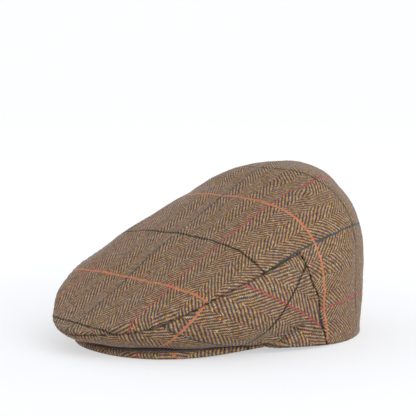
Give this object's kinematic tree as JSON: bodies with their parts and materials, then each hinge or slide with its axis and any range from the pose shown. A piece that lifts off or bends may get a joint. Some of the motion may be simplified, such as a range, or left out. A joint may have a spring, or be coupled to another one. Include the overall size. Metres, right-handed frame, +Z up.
{
  "type": "flat cap",
  "caption": "Flat cap of checked herringbone tweed, its crown sloping down to lie on a short stiff peak, with a side panel on each side.",
  "frame": {"origin": "middle of the cap's footprint box, on the surface that it rests on", "axes": "+Z up, the peak points to -Y, the wearer's left is +X"},
  "size_m": [0.2048, 0.2604, 0.1332],
  "materials": {
    "crown_tweed": "woven herringbone wool tweed, ochre and dark navy, with an orange, dark green and red overcheck",
    "peak_tweed": "the same tweed, stretched over a stiff peak board"
  },
  "bodies": {
    "root": {"crown_top": "crown_tweed", "side_panel_left": "crown_tweed", "side_panel_right": "crown_tweed", "peak": "peak_tweed"}
  },
  "joints": []
}
